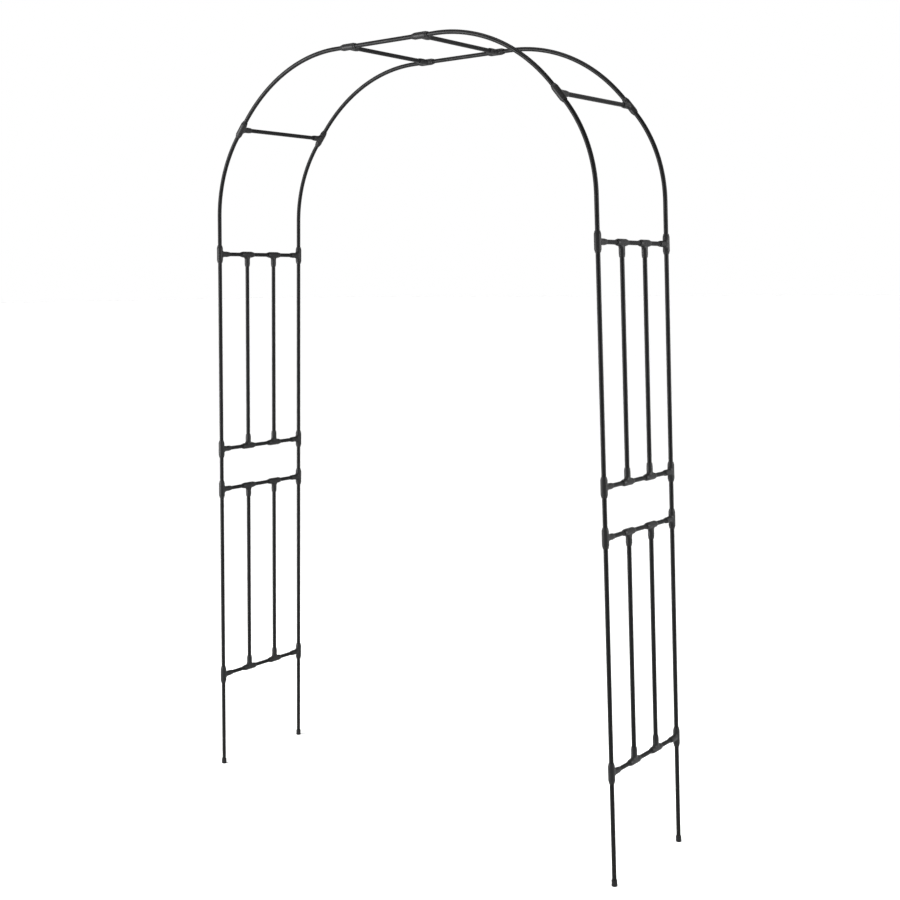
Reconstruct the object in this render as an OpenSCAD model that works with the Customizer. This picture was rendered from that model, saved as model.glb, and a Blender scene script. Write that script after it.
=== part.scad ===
// Metal trellis arch for climbing plants: two tube hoops joined by rungs, with a ladder-like
// trellis panel on each side. The tubes plug into moulded tees, and caps close the leg ends.
// +X is to the right across the walk-through, +Y runs through the arch from front to back, +Z is up.
// The origin is on the ground, midway between the four feet.

/* [Overall] */
// Width between the post axes where the hoops spring from the legs
span_w = 1484; // [1200:1:1800]
// Depth between the front and back hoop axes
depth = 373; // [280:1:520]
// Height of the hoop crown above the springing rungs
arch_rise = 606; // [500:1:740]
// Angle by which each leg leans inward on its way up
leg_splay = 2; // [0:0.1:4]

/* [Side panels] */
// Leg length from the ground to the bottom rung
leg_drop = 326; // [240:1:420]
// Distance between the two rungs of one trellis panel
panel_h = 662; // [500:1:800]
// Distance between the lower and the upper trellis panel
panel_gap = 140; // [100:1:260]
// Number of upright bars in each panel
bar_count = 2; // [1:1:3]

/* [Hoops] */
// Straight run above the springing rung, before the hoop starts to curve
hoop_stub = 122; // [60:1:180]
// Turn of the lower bend, from the leg to the shoulder rung
lower_turn = 39; // [34:0.5:44]
// Distance between the two crown rungs
crown_gap = 280; // [200:1:460]
// Straight run from each crown rung outward, before the hoop starts to curve down
crown_stub = 52; // [30:1:80]

/* [Tubes] */
// Outside diameter of every tube
tube_d = 13; // [10:0.5:16]
// Tube wall thickness
tube_wall = 1; // [0.7:0.1:1.5]

/* [Tees] */
// Length of a tee along its sleeve
tee_run = 58; // [50:1:80]
// Reach of a tee's side socket, measured from the sleeve axis
tee_reach = 40; // [36:1:55]
// Plastic wall around a tube where the sleeve is thickest
tee_wall = 3.4; // [2.5:0.1:4.5]
// Plastic wall around a tube in the side socket
socket_wall = 2.4; // [1.8:0.1:3.2]
// Plastic wall at the mouths, where the tapers end
mouth_wall = 1.5; // [1:0.1:1.8]
// Length of the taper at each mouth
mouth_taper = 10; // [6:1:14]
// Plastic left between the two tube ends inside a sleeve
stop_wall = 6; // [3:0.5:10]
// Floor between the sleeve's bore and the side socket's bore
socket_floor = 3.5; // [2:0.5:5]
// Radius of the webs between sleeve and side socket
web_r = 9; // [5:0.5:12]
// Thickness of those webs
web_t = 5; // [3:0.5:8]

/* [Feet] */
// Wall of a foot cap around the tube
cap_wall = 1.85; // [1.2:0.05:2.6]
// Height of a foot cap
cap_h = 18; // [14:0.5:26]
// Thickness of the cap's floor under the tube end
cap_floor = 4.5; // [3:0.5:6]
// Radius of the rounding around the cap's floor
cap_round = 3.6; // [2:0.1:4.5]

/* [Fits] */
// Radial clearance between a tube and the bore that holds it
fit_gap = 0.15; // [0.05:0.05:0.3]
// Radius of the rounded mouth edges
edge_r = 0.5; // [0.3:0.1:0.6]
// How far a bend reaches into the mouth of a hoop tee
bend_in = 2; // [1:0.5:4]
// How much the upper end of a hoop tube is drawn down in radius, to enter its tee
neck_step = 0.1; // [0.05:0.05:0.2]

/* [Hidden] */
$fn = 72;
eps = 0.01;

// Overlap of a hoop tube's thinner end with its bend
neck_lap = 1;
// How far a hoop tube's inside is cut past both ends
cut_past = 1;

tube_r = tube_d / 2;
bore_r = tube_r + fit_gap;
sleeve_r = bore_r + tee_wall;
socket_r = bore_r + socket_wall;
mouth_r = bore_r + mouth_wall;
cap_r = bore_r + cap_wall;

// A leaning cap's floor reaches this far below its axis point before it is cut level
lean_drop = cap_r * sin(leg_splay);

// Places of tube ends inside a tee, from the sleeve axis or the tee's middle
run_seat = stop_wall / 2;
socket_seat = bore_r + socket_floor;

// Rung places along a leg, from the ground up
bottom_z = leg_drop;
gap_low_z = bottom_z + panel_h;
gap_high_z = gap_low_z + panel_gap;
spring_z = gap_high_z + panel_h;

// The leg lines meet the ground and the springing rungs here
spring_half = span_w / 2;
foot_half = spring_half + spring_z * sin(leg_splay);

// Straight tube on each side of a hoop tee: it ends just inside the sleeve's mouth
straight_end = tee_run / 2 - bend_in;

// The two bends turn the hoop from the leg's lean to level
shoulder_turn = leg_splay + lower_turn;
upper_turn = 90 - shoulder_turn;

// What the bends must cover across and up, after the straight runs are taken off
bend_across = spring_half - crown_gap / 2 - hoop_stub * sin(leg_splay)
    - 2 * straight_end * sin(shoulder_turn) - crown_stub;
bend_up = arch_rise - hoop_stub * cos(leg_splay) - 2 * straight_end * cos(shoulder_turn);

// Radii of the two bends: across and up are both linear in them
lower_across = cos(leg_splay) - cos(shoulder_turn);
lower_up = sin(shoulder_turn) - sin(leg_splay);
upper_across = cos(shoulder_turn);
upper_up = 1 - sin(shoulder_turn);
bend_det = upper_across * lower_up - lower_across * upper_up;
lower_bend_r = (upper_across * bend_up - upper_up * bend_across) / bend_det;
upper_bend_r = (lower_up * bend_across - lower_across * bend_up) / bend_det;

crown_z = spring_z * cos(leg_splay) + arch_rise;

tube_colour = [0.07, 0.07, 0.07];
plastic_colour = [0.13, 0.13, 0.13];

SIDES = ["left", "right"];
ROWS = ["front", "back"];
BARS = [for (i = [1:bar_count]) i];

// One post tube fills each space between neighbouring rungs
POSTS = [
    ["post_lower", bottom_z, gap_low_z],
    ["post_gap", gap_low_z, gap_high_z],
    ["post_upper", gap_high_z, spring_z],
];

// Rungs held by the leg tees
LEG_RUNGS = [
    ["bottom", bottom_z],
    ["gap_low", gap_low_z],
    ["gap_high", gap_high_z],
    ["spring", spring_z],
];

// Trellis panels, each with the rung below and the rung above
PANELS = [
    ["lower", bottom_z, gap_low_z],
    ["upper", gap_high_z, spring_z],
];

// ---- Frames: each puts its children where a piece sits ----

// The pieces are drawn for the right side and mirrored to the left
module on_side(side) {
    mirror([side == "left" ? 1 : 0, 0, 0]) children();
}

// The pieces are drawn for the front hoop, facing +Y, and mirrored to the back
module on_row(row) {
    mirror([0, row == "back" ? 1 : 0, 0]) translate([0, -depth / 2, 0]) children();
}

// Height along_z up the leg line, with +Z along the leg
module on_leg(along_z) {
    translate([foot_half, 0, 0]) rotate([0, -leg_splay, 0]) translate([0, 0, along_z]) children();
}

// The end of a bend that starts at the origin along +Z and turns toward -X
module past_bend(bend_r, turn) {
    translate([-bend_r, 0, 0]) rotate([0, -turn, 0]) translate([bend_r, 0, 0]) children();
}

// Middle of the shoulder tee, with +Z along the hoop
module at_shoulder() {
    on_leg(spring_z + hoop_stub)
        past_bend(lower_bend_r, lower_turn)
            translate([0, 0, straight_end]) children();
}

// Middle of the crown tee, with +Z along the hoop
module at_crown() {
    at_shoulder() translate([0, 0, straight_end])
        past_bend(upper_bend_r, upper_turn)
            translate([0, 0, crown_stub]) children();
}

// The sleeve axis turned from +Z to +Y, with the side socket pointing up or down the leg
module along_rung(socket_up) {
    rotate([socket_up ? 90 : -90, 0, 0]) children();
}

function bar_y(i) = depth * (i / (bar_count + 1) - 1 / 2);

// ---- Tubes ----

module tube_section() {
    difference() {
        circle(r = tube_r);
        circle(r = tube_r - tube_wall);
    }
}

// Straight tube along +Z between two heights
module straight_tube(from_z, to_z) {
    translate([0, 0, from_z]) linear_extrude(to_z - from_z) tube_section();
}

// Solid core of a hoop tube: a straight run up to the origin, a bend, and a thinner end past it
module hoop_core(core_r, start_l, bend_r, turn, end_l) {
    translate([0, 0, -start_l]) cylinder(r = core_r, h = start_l);
    translate([-bend_r, 0, 0]) rotate([90, 0, 0])
        rotate_extrude(angle = turn) translate([bend_r, 0]) circle(r = core_r);
    past_bend(bend_r, turn)
        translate([0, 0, -neck_lap]) cylinder(r = core_r - neck_step, h = neck_lap + end_l);
}

// Hoop tube from a tee's middle at the origin to the next tee's middle: straight, bent, straight
module hoop_tube(start_run, bend_r, turn, end_run) {
    start_l = start_run - run_seat;
    end_l = end_run - run_seat;
    color(tube_colour) translate([0, 0, start_run]) difference() {
        hoop_core(tube_r, start_l, bend_r, turn, end_l);
        hoop_core(tube_r - tube_wall, start_l + cut_past, bend_r, turn, end_l + cut_past);
    }
}

// Leg end that stands in the ground
module stake() {
    color(tube_colour) on_leg(0) straight_tube(cap_floor, bottom_z - run_seat);
}

// Post tube between two leg tees
module post(low_z, high_z) {
    color(tube_colour) on_leg(0) straight_tube(low_z + run_seat, high_z - run_seat);
}

// Hoop tube from the springing tee to the shoulder tee
module hoop_lower() {
    on_leg(spring_z) hoop_tube(hoop_stub, lower_bend_r, lower_turn, straight_end);
}

// Hoop tube from the shoulder tee to the crown tee
module hoop_upper() {
    at_shoulder() hoop_tube(straight_end, upper_bend_r, upper_turn, crown_stub);
}

// Level tube between the two crown tees of one hoop
module crown_tube() {
    half_l = crown_gap / 2 - run_seat;
    color(tube_colour) translate([0, 0, crown_z]) rotate([0, 90, 0]) straight_tube(-half_l, half_l);
}

// Rung between the side sockets of a front tee and a back tee
module rung() {
    half_l = depth / 2 - socket_seat;
    color(tube_colour) rotate([90, 0, 0]) straight_tube(-half_l, half_l);
}

// Upright bar between the bar tees of two rungs
module bar(low_z, high_z, i) {
    color(tube_colour) translate([0, bar_y(i), 0])
        on_leg(0) straight_tube(low_z + socket_seat, high_z - socket_seat);
}

// ---- Tees and caps ----

// Outline of one tapered end, from the middle out to a mouth with a rounded edge
module taper_outline(body_r, end_z) {
    polygon([
        [0, 0],
        [body_r, 0],
        [body_r, end_z - mouth_taper],
        [mouth_r, end_z - edge_r],
        [mouth_r - edge_r, end_z - edge_r],
        [mouth_r - edge_r, end_z],
        [0, end_z],
    ]);
    translate([mouth_r - edge_r, end_z - edge_r]) circle(r = edge_r);
}

module sleeve_body() {
    rotate_extrude() {
        taper_outline(sleeve_r, tee_run / 2);
        mirror([0, 1]) taper_outline(sleeve_r, tee_run / 2);
    }
}

module socket_body() {
    rotate([-90, 0, 0]) rotate_extrude() taper_outline(socket_r, tee_reach);
}

// Webs that fill both corners between the sleeve and the side socket
module corner_webs() {
    corner = [sleeve_r + web_r, socket_r + web_r];
    rotate([90, 0, 90]) translate([0, 0, -web_t / 2]) linear_extrude(web_t)
        difference() {
            translate([0, -corner[1]]) square([corner[0], 2 * corner[1]]);
            for (s = [-1, 1])
                translate([corner[0], s * corner[1]]) circle(r = web_r);
        }
}

// Solid tee with its sleeve along Z and its side socket along +Y
module tee_body() {
    sleeve_body();
    socket_body();
    corner_webs();
}

module socket_bore() {
    translate([0, socket_seat, 0]) rotate([-90, 0, 0])
        cylinder(r = bore_r, h = tee_reach - socket_seat + eps);
}

// Tee that joins two hoop or post tubes and one rung
module hoop_tee() {
    color(plastic_colour) difference() {
        tee_body();
        socket_bore();
        for (s = [0, 1])
            mirror([0, 0, s]) translate([0, 0, run_seat]) cylinder(r = bore_r, h = tee_run);
    }
}

// Tee that slides onto a rung and holds the end of a bar
module bar_tee() {
    color(plastic_colour) difference() {
        tee_body();
        socket_bore();
        translate([0, 0, -tee_run]) cylinder(r = bore_r, h = 2 * tee_run);
    }
}

// All the bar tees of one side
module bar_tees() {
    for (p = PANELS, i = BARS) translate([0, bar_y(i), 0]) {
        on_leg(p[1]) along_rung(true) bar_tee();
        on_leg(p[2]) along_rung(false) bar_tee();
    }
}

// Outline of a foot cap, from its axis out, before its underside is cut level
module cap_outline() {
    floor_round = min(cap_round, cap_r / 2);
    translate([0, -lean_drop]) square([cap_r - floor_round, floor_round]);
    translate([cap_r - floor_round, floor_round - lean_drop]) circle(r = floor_round);
    translate([0, floor_round - lean_drop]) square([cap_r, cap_h - edge_r - floor_round + lean_drop]);
    square([cap_r - edge_r, cap_h]);
    translate([cap_r - edge_r, cap_h - edge_r]) circle(r = edge_r);
}

// Cap over a leg end, cut level where it meets the ground
module foot_cap() {
    color(plastic_colour) difference() {
        on_leg(0) rotate_extrude() difference() {
            cap_outline();
            translate([0, cap_floor]) square([bore_r, cap_h]);
        }
        translate([foot_half, 0, -cap_r]) cube(2 * cap_r, center = true);
    }
}

// ---- Assembly ----

for (side = SIDES, row = ROWS) {
    on_side(side) on_row(row) stake();
    for (p = POSTS)
        on_side(side) on_row(row) post(p[1], p[2]);
    on_side(side) on_row(row) hoop_lower();
    on_side(side) on_row(row) hoop_upper();
}

for (side = SIDES) {
    for (r = LEG_RUNGS) {
        on_side(side) on_leg(r[1]) rung();
        for (row = ROWS) on_side(side) on_row(row) on_leg(r[1]) hoop_tee();
    }
    for (p = PANELS, i = BARS)
        on_side(side) bar(p[1], p[2], i);
    on_side(side) bar_tees();
    on_side(side) at_shoulder() rung();
    on_side(side) at_crown() rung();
}

for (row = ROWS)
    on_row(row) crown_tube();

for (side = SIDES, row = ROWS) on_side(side) on_row(row) at_shoulder() hoop_tee();  // tees_shoulder
for (side = SIDES, row = ROWS) on_side(side) on_row(row) at_crown() hoop_tee();  // tees_crown
for (side = SIDES, row = ROWS) on_side(side) on_row(row) foot_cap();  // foot_caps
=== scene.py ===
"""The looks of the metal trellis arch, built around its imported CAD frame. Metres, +Z up."""

import math

import bmesh
import bpy
import numpy as np
from mathutils import Matrix, Vector


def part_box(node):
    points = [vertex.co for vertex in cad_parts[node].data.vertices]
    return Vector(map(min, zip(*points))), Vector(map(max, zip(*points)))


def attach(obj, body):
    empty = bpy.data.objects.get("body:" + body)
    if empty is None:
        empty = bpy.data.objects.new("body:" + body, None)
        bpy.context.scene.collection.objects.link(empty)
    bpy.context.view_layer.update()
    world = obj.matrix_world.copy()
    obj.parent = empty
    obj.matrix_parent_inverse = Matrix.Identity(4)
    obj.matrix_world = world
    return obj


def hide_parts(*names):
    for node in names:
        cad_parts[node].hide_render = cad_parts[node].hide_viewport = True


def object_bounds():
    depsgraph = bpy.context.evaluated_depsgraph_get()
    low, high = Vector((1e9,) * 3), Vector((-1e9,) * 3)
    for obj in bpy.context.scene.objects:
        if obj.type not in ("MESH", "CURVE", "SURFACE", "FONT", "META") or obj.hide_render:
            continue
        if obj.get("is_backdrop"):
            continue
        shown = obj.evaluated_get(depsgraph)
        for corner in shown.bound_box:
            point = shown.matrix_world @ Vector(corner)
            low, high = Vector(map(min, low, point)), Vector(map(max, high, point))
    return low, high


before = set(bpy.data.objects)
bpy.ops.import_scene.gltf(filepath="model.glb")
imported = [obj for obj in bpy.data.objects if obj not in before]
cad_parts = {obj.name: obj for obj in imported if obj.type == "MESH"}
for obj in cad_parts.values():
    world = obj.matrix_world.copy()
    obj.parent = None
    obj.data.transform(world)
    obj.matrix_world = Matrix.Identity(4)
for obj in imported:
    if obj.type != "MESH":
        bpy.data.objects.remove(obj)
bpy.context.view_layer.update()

# ---------------------------------------------------------------- driving dimensions

# Moulded tee, as the CAD frame has it
BORE_R = 0.00665
SLEEVE_R = 0.01005
SOCKET_R = 0.00905
MOUTH_R = 0.00815
RUN_HALF = 0.029
REACH = 0.040
TAPER = 0.010
RUN_SEAT = 0.003
SOCKET_SEAT = 0.01015
EDGE_R = 0.0005
LEAD_IN = 0.0004
# Blend between sleeve and side socket: where it ends up the socket, where it starts along and round
# the sleeve, and how hard it pulls away from each
BLEND_Y = 0.0190
BLEND_Z = 0.0170
BLEND_TURN = math.radians(68)
BLEND_PULL = 0.0140
# The raised line where the mould halves met, and what counts as lying on it
SEAM_RISE = 0.00018
SEAM_HALF = math.radians(1.6)
SAME = 1e-6
# Creases sharper than this stay sharp in the shading
SHARP_ANGLE = math.radians(38)
# How finely a tee's skin is divided: the columns round the sleeve stand COLUMN_TURN apart, and the
# opening for the side socket spans WINDOW of them on each side of the front mould line
COLUMN_TURN = math.radians(7.5)
WINDOW = 11
SLEEVE_STEPS = 12
CROSS_STEPS = 5
BLEND_STEPS = 8
SOCKET_STEPS = 3
TAPER_STEPS = 8
ROUND_STEPS = 3
# Turn of the hoop between the leg and the shoulder rung
LOWER_TURN = math.radians(39)

SIDES = {"left": -1, "right": 1}
PANELS = {"lower": ("bottom", "gap_low"), "upper": ("gap_high", "spring")}
LEVELS = ("bottom", "gap_low", "gap_high", "spring")


def middle(node):
    low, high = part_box(node)
    return (low + high) / 2


# ---------------------------------------------------------------- materials


class Shader:
    """A material's node tree, with short calls for the nodes that the finishes share."""

    def __init__(self, name):
        self.material = bpy.data.materials.new(name)
        self.material.use_nodes = True
        self.tree = self.material.node_tree
        self.main = self.tree.nodes["Principled BSDF"]
        self.place = self.tree.nodes.new("ShaderNodeTexCoord").outputs["Object"]

    def link(self, source, target):
        self.tree.links.new(source, target)

    def noise(self, scale, detail=2.0, rough=0.5, stretch=(1, 1, 1)):
        mapping = self.tree.nodes.new("ShaderNodeMapping")
        mapping.inputs["Scale"].default_value = stretch
        self.link(self.place, mapping.inputs["Vector"])
        node = self.tree.nodes.new("ShaderNodeTexNoise")
        node.inputs["Scale"].default_value = scale
        node.inputs["Detail"].default_value = detail
        node.inputs["Roughness"].default_value = rough
        self.link(mapping.outputs["Vector"], node.inputs["Vector"])
        return node.outputs["Fac"]

    def ranged(self, value, span, result):
        """Carries the numbers of span over to those of result, and stops at both ends."""
        node = self.tree.nodes.new("ShaderNodeMapRange")
        node.inputs["From Min"].default_value, node.inputs["From Max"].default_value = span
        node.inputs["To Min"].default_value, node.inputs["To Max"].default_value = result
        self.link(value, node.inputs["Value"])
        return node.outputs["Result"]

    def math(self, operation, a, b):
        node = self.tree.nodes.new("ShaderNodeMath")
        node.operation = operation
        for socket, value in zip(node.inputs, (a, b)):
            if isinstance(value, (int, float)):
                socket.default_value = value
            else:
                self.link(value, socket)
        return node.outputs["Value"]

    def mix(self, factor, a, b):
        """Colour a where factor is 0, colour b where it is 1."""
        node = self.tree.nodes.new("ShaderNodeMix")
        node.data_type = "RGBA"
        self.link(factor, node.inputs["Factor"])
        colour_a, colour_b = [i for i in node.inputs if i.type == "RGBA"]
        for socket, value in ((colour_a, a), (colour_b, b)):
            if isinstance(value, tuple):
                socket.default_value = (*value, 1)
            else:
                self.link(value, socket)
        return next(o for o in node.outputs if o.type == "RGBA")

    def patches(self, noise, span, most, least=0.0):
        """Patches where a noise is high: least below the span, most above it."""
        return self.ranged(noise, span, (least, most))

    def bump(self, height, distance, below=None):
        node = self.tree.nodes.new("ShaderNodeBump")
        node.inputs["Strength"].default_value = 1.0
        node.inputs["Distance"].default_value = distance
        self.link(height, node.inputs["Height"])
        if below is not None:
            self.link(below, node.inputs["Normal"])
        return node.outputs["Normal"]

    def upward(self):
        """How much a surface faces the sky, from 0 to 1."""
        geometry = self.tree.nodes.new("ShaderNodeNewGeometry")
        split = self.tree.nodes.new("ShaderNodeSeparateXYZ")
        self.link(geometry.outputs["Normal"], split.inputs["Vector"])
        return self.ranged(split.outputs["Z"], (0.2, 1.0), (0.0, 1.0))

    def worn_edge(self):
        """1 on the sharpest outer edges, 0 on faces and in corners."""
        geometry = self.tree.nodes.new("ShaderNodeNewGeometry")
        return self.ranged(geometry.outputs["Pointiness"], (0.53, 0.62), (0.0, 1.0))

    def near_ground(self, top):
        """1 at the ground, fading to 0 at the height top."""
        split = self.tree.nodes.new("ShaderNodeSeparateXYZ")
        self.link(self.place, split.inputs["Vector"])
        return self.ranged(split.outputs["Z"], (0.0, top), (1.0, 0.0))


def powder_coat():
    """Satin black powder coat on steel tube: orange peel, faint rub marks, a little dust on top."""
    deep_black, soft_black = (0.0022, 0.0023, 0.0025), (0.0052, 0.0053, 0.0056)
    rubbed, dusty, soiled = (0.018, 0.018, 0.019), (0.10, 0.092, 0.080), (0.065, 0.050, 0.036)
    soil_top = 0.20
    s = Shader("coated_tube")
    shade = s.mix(s.noise(scale=9, detail=3), deep_black, soft_black)
    along = s.noise(scale=130, detail=4, rough=0.62, stretch=(1, 1, 0.12))
    shade = s.mix(s.patches(along, (0.60, 0.74), 0.35), shade, rubbed)
    settled = s.patches(s.noise(scale=55, detail=5, rough=0.6), (0.45, 0.75), 0.10)
    shade = s.mix(s.math("MULTIPLY", s.upward(), settled), shade, dusty)
    splashed = s.patches(s.noise(scale=240, detail=4, rough=0.6), (0.5, 0.72), 0.3)
    shade = s.mix(s.math("MULTIPLY", s.near_ground(soil_top), splashed), shade, soiled)
    s.link(shade, s.main.inputs["Base Color"])
    s.link(s.ranged(s.noise(scale=38, detail=4), (0.3, 0.7), (0.32, 0.46)), s.main.inputs["Roughness"])
    peel = s.bump(s.noise(scale=620, detail=2, rough=0.45), distance=0.00009)
    grain = s.bump(s.noise(scale=2600, detail=2), distance=0.00002, below=peel)
    s.link(grain, s.main.inputs["Normal"])
    s.main.inputs["Specular IOR Level"].default_value = 0.08
    return s.material


def moulded_plastic():
    """Black moulded plastic with a fine spark-eroded grain, a shade greyer than the tubes."""
    deep_black, soft_black = (0.0040, 0.0040, 0.0043), (0.0085, 0.0085, 0.0089)
    bloomed, scuffed, dusty = (0.024, 0.024, 0.025), (0.060, 0.060, 0.060), (0.11, 0.10, 0.086)
    s = Shader("tee_plastic")
    shade = s.mix(s.noise(scale=34, detail=4), deep_black, soft_black)
    bloom = s.patches(s.noise(scale=420, detail=4, rough=0.6), (0.54, 0.78), 0.35)
    shade = s.mix(bloom, shade, bloomed)
    handled = s.patches(s.noise(scale=300, detail=3), (0.40, 0.65), 0.6, least=0.1)
    shade = s.mix(s.math("MULTIPLY", s.worn_edge(), handled), shade, scuffed)
    settled = s.patches(s.noise(scale=160, detail=5, rough=0.6), (0.45, 0.75), 0.14)
    shade = s.mix(s.math("MULTIPLY", s.upward(), settled), shade, dusty)
    s.link(shade, s.main.inputs["Base Color"])
    s.link(s.ranged(s.noise(scale=300, detail=4), (0.3, 0.7), (0.38, 0.52)), s.main.inputs["Roughness"])
    flow = s.bump(s.noise(scale=180, detail=2), distance=0.00006)
    grain = s.bump(s.noise(scale=3400, detail=3, rough=0.6), distance=0.00005, below=flow)
    s.link(grain, s.main.inputs["Normal"])
    s.main.inputs["Specular IOR Level"].default_value = 0.14
    return s.material


def floor_paint():
    """Matt near-white floor with a barely visible mottle."""
    shade_a, shade_b = (0.865, 0.865, 0.865), (0.88, 0.88, 0.88)
    s = Shader("studio_floor")
    s.link(s.mix(s.noise(scale=1.5, detail=3), shade_a, shade_b), s.main.inputs["Base Color"])
    s.link(s.ranged(s.noise(scale=4, detail=3), (0.3, 0.7), (0.75, 0.85)), s.main.inputs["Roughness"])
    s.main.inputs["Specular IOR Level"].default_value = 0.1
    return s.material


TUBE_FINISH = powder_coat()
PLASTIC_FINISH = moulded_plastic()

# ---------------------------------------------------------------- moulded tees


class Skin:
    """Points and faces of one closed surface, built ring by ring."""

    def __init__(self):
        self.points = []
        self.faces = []

    def ring(self, points):
        first = len(self.points)
        self.points.extend(points)
        return list(range(first, len(self.points)))

    def bridge(self, a, b):
        for i in range(len(a)):
            j = (i + 1) % len(a)
            self.faces.append((a[i], a[j], b[j], b[i]))

    def sweep(self, start, rings):
        """Bridges from an existing ring through new ones, and gives back the last."""
        for points in rings:
            ring = self.ring(points)
            self.bridge(start, ring)
            start = ring
        return start

    def cap(self, ring):
        self.faces.append(tuple(ring))


def ease(t):
    return t * t * (3 - 2 * t)


def taper_stations(body_r, end):
    """(distance, radius) from where a taper starts to the flat face of its mouth."""
    start = end - TAPER
    out = []
    for i in range(1, TAPER_STEPS + 1):
        f = i / TAPER_STEPS
        out.append((start + (TAPER - EDGE_R) * f, body_r + (MOUTH_R - body_r) * ease(f)))
    for i in range(1, ROUND_STEPS + 1):
        a = math.pi / 2 * i / ROUND_STEPS
        out.append((end - EDGE_R * (1 - math.sin(a)), MOUTH_R - EDGE_R * (1 - math.cos(a))))
    return out


def bore_stations(end, floor):
    """(distance, radius) from a mouth's flat face, over a small chamfer, down to a bore's floor."""
    return [(end, BORE_R + LEAD_IN), (end - LEAD_IN, BORE_R), (floor, BORE_R)]


def column_angles():
    """Angles round the sleeve from the socket's side, closer together at the two mould seams."""
    even = [COLUMN_TURN * i for i in range(1, round(math.pi / COLUMN_TURN))]
    half = [SEAM_HALF, *even, math.pi - SEAM_HALF]
    return [0.0, *half, math.pi, *[-a for a in reversed(half)]]


def on_seam(angle):
    return abs(math.sin(angle)) < SAME


def raised(r, angle, seam):
    """A radius, with the mould line's rise where the angle lies on that line."""
    return r + seam if on_seam(angle) else r


def sleeve_point(angle, z, r):
    return (r * math.sin(angle), r * math.cos(angle), z)


def sleeve_ring(columns, z, r, seam=0.0):
    return [sleeve_point(a, z, raised(r, a, seam)) for a in columns]


def socket_ring(turns, y, r, seam=0.0):
    radii = [raised(r, t, seam) for t in turns]
    return [(out * math.sin(t), y, out * math.cos(t)) for t, out in zip(turns, radii)]


def blend_foot(turn):
    """(angle, height) on the sleeve where the blend starts, a turn round the side socket's axis."""
    return BLEND_TURN * math.sin(turn), BLEND_Z * math.cos(turn)


def blend_point(turn, f):
    """A point of the smooth curve from the sleeve's skin to the socket's, a part f of the way."""
    angle, z = blend_foot(turn)
    foot = Vector(sleeve_point(angle, z, SLEEVE_R))
    inward = Vector((math.cos(angle), -math.sin(angle), 0)) * (-SLEEVE_R * angle)
    inward = (inward + Vector((0, 0, -z))).normalized() * BLEND_PULL
    top = Vector((SOCKET_R * math.sin(turn), BLEND_Y, SOCKET_R * math.cos(turn)))
    rise = Vector((0, BLEND_PULL, 0))
    h00, h10 = 2 * f**3 - 3 * f**2 + 1, f**3 - 2 * f**2 + f
    h01, h11 = 3 * f**2 - 2 * f**3, f**3 - f**2
    point = foot * h00 + inward * h10 + top * h01 + rise * h11
    if on_seam(turn):
        out = Vector((0, 1 - f, math.copysign(f, math.cos(turn))))
        point = point + out.normalized() * SEAM_RISE
    return tuple(point)


def crossing_rings(spots, turns):
    """Rings along the sleeve's skin, from the edge of its opening to the foot of the blend."""
    rings = []
    for k in range(1, CROSS_STEPS + 1):
        f = k / CROSS_STEPS
        ring = []
        for (angle, z), turn in zip(spots, turns):
            foot_angle, foot_z = blend_foot(turn)
            angle = angle * (1 - f) + foot_angle * f
            z = z * (1 - f) + foot_z * f
            ring.append(sleeve_point(angle, z, raised(SLEEVE_R, turn, SEAM_RISE)))
        rings.append(ring)
    return rings


def blend_rings(turns):
    return [[blend_point(t, k / BLEND_STEPS) for t in turns] for k in range(1, BLEND_STEPS + 1)]


def socket_rings(turns):
    """The side socket beyond the blend, its mouth and its bore."""
    run = REACH - TAPER - BLEND_Y
    rings = []
    for i in range(1, SOCKET_STEPS + 1):
        rings.append(socket_ring(turns, BLEND_Y + run * i / SOCKET_STEPS, SOCKET_R, SEAM_RISE))
    stations = taper_stations(SOCKET_R, REACH)
    for i, (y, r) in enumerate(stations):
        rings.append(socket_ring(turns, y, r, SEAM_RISE * (1 - i / len(stations))))
    return rings + [socket_ring(turns, y, r) for y, r in bore_stations(REACH, SOCKET_SEAT)]


def window_loop(front):
    """(column, level) places round the opening: along its top, down, back along the bottom, and up."""
    loop = [(c, SLEEVE_STEPS) for c in front]
    loop += [(front[-1], level) for level in reversed(range(SLEEVE_STEPS))]
    loop += [(c, 0) for c in reversed(front[:-1])]
    return loop + [(front[0], level) for level in range(1, SLEEVE_STEPS)]


def add_side_socket(skin, grid, columns, levels, front):
    """Closes the opening in the sleeve's grid with the blend and the blind side socket."""
    loop = window_loop(front)
    start = [grid[level][c] for c, level in loop]
    spots = [(columns[c], levels[level]) for c, level in loop]
    turns = [math.atan2(angle / columns[front[-1]], z / levels[-1]) for angle, z in spots]
    rings = crossing_rings(spots, turns) + blend_rings(turns) + socket_rings(turns)
    skin.cap(skin.sweep(start, rings))


def add_sleeve_ends(skin, grid, columns, through):
    """Mouths and bores of the sleeve: one open bore, or two that end against the stop."""
    ends = []
    stations = taper_stations(SLEEVE_R, RUN_HALF)
    inside = bore_stations(RUN_HALF, RUN_SEAT)
    if through:
        inside = inside[:-1]
    for sign, first in ((1, grid[-1]), (-1, grid[0])):
        rings = [
            sleeve_ring(columns, sign * z, r, SEAM_RISE * (1 - i / len(stations)))
            for i, (z, r) in enumerate(stations)
        ]
        rings += [sleeve_ring(columns, sign * z, r) for z, r in inside]
        ends.append(skin.sweep(first, rings))
    if through:
        skin.bridge(ends[0], ends[1])
    else:
        for ring in ends:
            skin.cap(ring)


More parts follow.
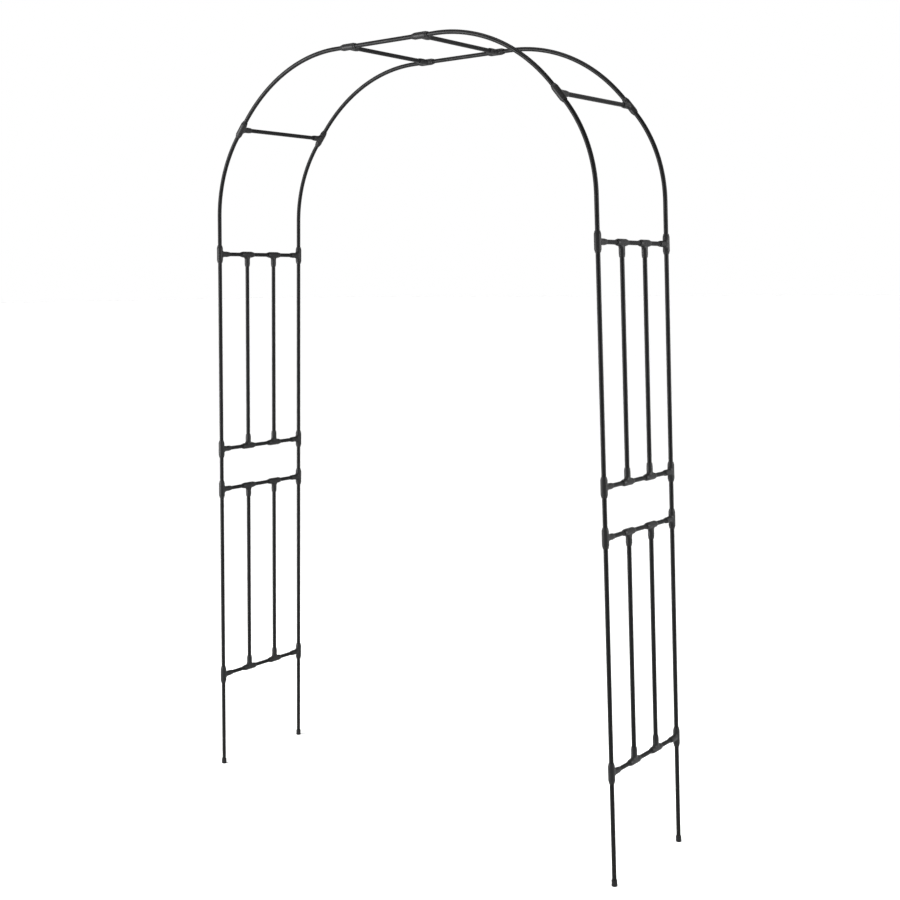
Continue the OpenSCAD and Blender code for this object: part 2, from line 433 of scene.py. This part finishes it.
def tee_skin(through):
    """One moulded tee: sleeve along Z, side socket along +Y. A through sleeve slides along a rung."""
    skin = Skin()
    columns = column_angles()
    flat_half = RUN_HALF - TAPER
    levels = [flat_half * (2 * i / SLEEVE_STEPS - 1) for i in range(SLEEVE_STEPS + 1)]
    grid = [skin.ring(sleeve_ring(columns, z, SLEEVE_R, SEAM_RISE)) for z in levels]
    count = len(columns)
    edge = WINDOW + 1  # the mould line has an edge column of its own on each side
    for low, high in zip(grid, grid[1:]):
        for c in range(edge, count - edge):
            skin.faces.append((low[c], low[(c + 1) % count], high[(c + 1) % count], high[c]))
    front = [c % count for c in range(-edge, edge + 1)]
    add_side_socket(skin, grid, columns, levels, front)
    add_sleeve_ends(skin, grid, columns, through)
    return np.array(skin.points), skin.faces


def tee_place(centre, sleeve, socket):
    """Where a tee sits: its middle, and the directions of its sleeve and of its side socket."""
    across = socket.cross(sleeve)
    turn = Matrix((across, socket, sleeve)).transposed().to_4x4()
    return Matrix.Translation(centre) @ turn


def add_tees(node, skin, places):
    """Tees that stand for one CAD node, as one piece."""
    points, faces = skin
    all_points, all_faces = [], []
    for place in places:
        base = len(points) * len(all_points)
        m = np.array(place)
        all_points.append(points @ m[:3, :3].T + m[:3, 3])
        all_faces.extend(tuple(base + i for i in face) for face in faces)
    mesh = bpy.data.meshes.new("moulded_" + node)
    mesh.from_pydata(np.concatenate(all_points).tolist(), [], all_faces)
    work = bmesh.new()
    work.from_mesh(mesh)
    bmesh.ops.recalc_face_normals(work, faces=work.faces)
    work.to_mesh(mesh)
    work.free()
    mesh.shade_smooth()
    mesh.set_sharp_from_angle(angle=SHARP_ANGLE)
    piece = bpy.data.objects.new("moulded_" + node, mesh)
    bpy.context.scene.collection.objects.link(piece)
    mesh.materials.append(PLASTIC_FINISH)
    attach(piece, "root")
    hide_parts(node)
    return piece


def lean_direction(side, angle):
    """Unit vector that leans inward from upright by angle, on that side."""
    return Vector((-SIDES[side] * math.sin(angle), 0, math.cos(angle)))


def build_tees():
    """Every moulded tee, placed by the rungs, bars and crown tubes that it holds."""
    hoop_tee = tee_skin(through=False)
    bar_tee = tee_skin(through=True)
    low, high = middle("rung_bottom_right"), middle("rung_spring_right")
    lean = math.atan2(low.x - high.x, high.z - low.z)
    half_depth = middle("crown_tube_back").y
    rows = (-half_depth, half_depth)

    def hoop_pair(rung, sleeve):
        centre = middle(rung)
        return [
            tee_place(Vector((centre.x, y, centre.z)), sleeve, Vector((0, -math.copysign(1, y), 0)))
            for y in rows
        ]

    for side in SIDES:
        leg = lean_direction(side, lean)
        for level in LEVELS:
            add_tees(f"tees_{level}_{side}", hoop_tee, hoop_pair(f"rung_{level}_{side}", leg))
        places = []
        for panel, rungs in PANELS.items():
            bars = sorted(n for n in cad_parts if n.startswith(f"bar_{panel}_{side}_"))
            for bar in bars:
                for level, way in zip(rungs, (1, -1)):
                    centre = middle(f"rung_{level}_{side}")
                    centre.y = middle(bar).y
                    places.append(tee_place(centre, Vector((0, 1, 0)), leg * way))
        add_tees(f"bar_tees_{side}", bar_tee, places)
    for rung, heading in (("shoulder", lean + LOWER_TURN), ("crown", math.pi / 2)):
        places = [
            place
            for side in SIDES
            for place in hoop_pair(f"rung_{rung}_{side}", lean_direction(side, heading))
        ]
        add_tees(f"tees_{rung}", hoop_tee, places)


build_tees()

# ---------------------------------------------------------------- finishes of the CAD nodes

for name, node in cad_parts.items():
    finish = PLASTIC_FINISH if name == "foot_caps" or "tees" in name else TUBE_FINISH
    node.data.materials.clear()
    node.data.materials.append(finish)

# ---------------------------------------------------------------- studio


def add_floor():
    half = 150.0  # far enough out for its edge to meet the white of the world
    mesh = bpy.data.meshes.new("studio_floor")
    corners = [(x * half, y * half, 0) for x, y in ((-1, -1), (1, -1), (1, 1), (-1, 1))]
    mesh.from_pydata(corners, [], [(0, 1, 2, 3)])
    mesh.materials.append(floor_paint())
    floor = bpy.data.objects.new("studio_floor", mesh)
    bpy.context.scene.collection.objects.link(floor)
    floor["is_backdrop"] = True


def add_softbox(name, place, aim, size, power):
    light = bpy.data.lights.new(name, "AREA")
    light.shape = "RECTANGLE"
    light.size, light.size_y = size
    light.energy = power
    lamp = bpy.data.objects.new(name, light)
    lamp.location = place
    lamp.rotation_euler = (Vector(aim) - Vector(place)).to_track_quat("-Z", "Y").to_euler()
    bpy.context.scene.collection.objects.link(lamp)


def add_world():
    """White along the horizon and below it, dimmer overhead, so that the lamps shape the tubes."""
    world = bpy.data.worlds.new("studio")
    world.use_nodes = True
    tree = world.node_tree
    direction = tree.nodes.new("ShaderNodeTexCoord").outputs["Generated"]
    split = tree.nodes.new("ShaderNodeSeparateXYZ")
    tree.links.new(direction, split.inputs["Vector"])
    fade = tree.nodes.new("ShaderNodeMapRange")
    fade.interpolation_type = "SMOOTHSTEP"
    white_up_to, dim_from = math.radians(25), math.radians(53)
    fade.inputs["From Min"].default_value = math.sin(white_up_to)
    fade.inputs["From Max"].default_value = math.sin(dim_from)
    fade.inputs["To Min"].default_value = 1.0
    fade.inputs["To Max"].default_value = 0.25
    tree.links.new(split.outputs["Z"], fade.inputs["Value"])
    tree.links.new(fade.outputs["Result"], tree.nodes["Background"].inputs["Strength"])
    tree.nodes["Background"].inputs["Color"].default_value = (1, 1, 1, 1)
    bpy.context.scene.world = world


def add_lights():
    """A wide overhead light that whitens the floor, and two upright softboxes."""
    overhead = bpy.data.lights.new("overhead", "SUN")
    overhead.energy = 2.15
    overhead.angle = math.radians(40)
    lamp = bpy.data.objects.new("overhead", overhead)
    lamp.rotation_euler = (math.radians(18), math.radians(-14), 0)
    bpy.context.scene.collection.objects.link(lamp)
    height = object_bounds()[1].z
    middle_of_arch = (0, 0, height / 2)
    key_place, rim_place = (-2.4, -3.4, height * 0.55), (3.6, 1.2, height * 0.75)
    add_softbox("key", key_place, middle_of_arch, size=(0.7, 2.6), power=360)
    add_softbox("rim", rim_place, middle_of_arch, size=(0.5, 2.2), power=150)


def add_camera():
    """The photograph's view: from the front right, a little above the middle of the arch."""
    azimuth, elevation, roll = math.radians(38.25), math.radians(7.15), math.radians(-0.61)
    distance = 4.19
    aim = Vector((0.053, 0.042, 1.157))
    away = Vector((
        math.sin(azimuth) * math.cos(elevation),
        -math.cos(azimuth) * math.cos(elevation),
        math.sin(elevation),
    ))
    level = (-away).cross(Vector((0, 0, 1))).normalized()
    upright = level.cross(-away)
    right = level * math.cos(roll) + upright * math.sin(roll)
    up = right.cross(-away)
    data = bpy.data.cameras.new("camera")
    data.sensor_width = 36.0
    data.lens = 52.65
    data.clip_end = 400.0
    camera = bpy.data.objects.new("camera", data)
    turn = Matrix((right, up, away)).transposed().to_4x4()
    camera.matrix_world = Matrix.Translation(aim + away * distance) @ turn
    bpy.context.scene.collection.objects.link(camera)
    bpy.context.scene.camera = camera


add_floor()
add_world()
add_lights()
add_camera()
bpy.context.scene.view_settings.view_transform = "Standard"
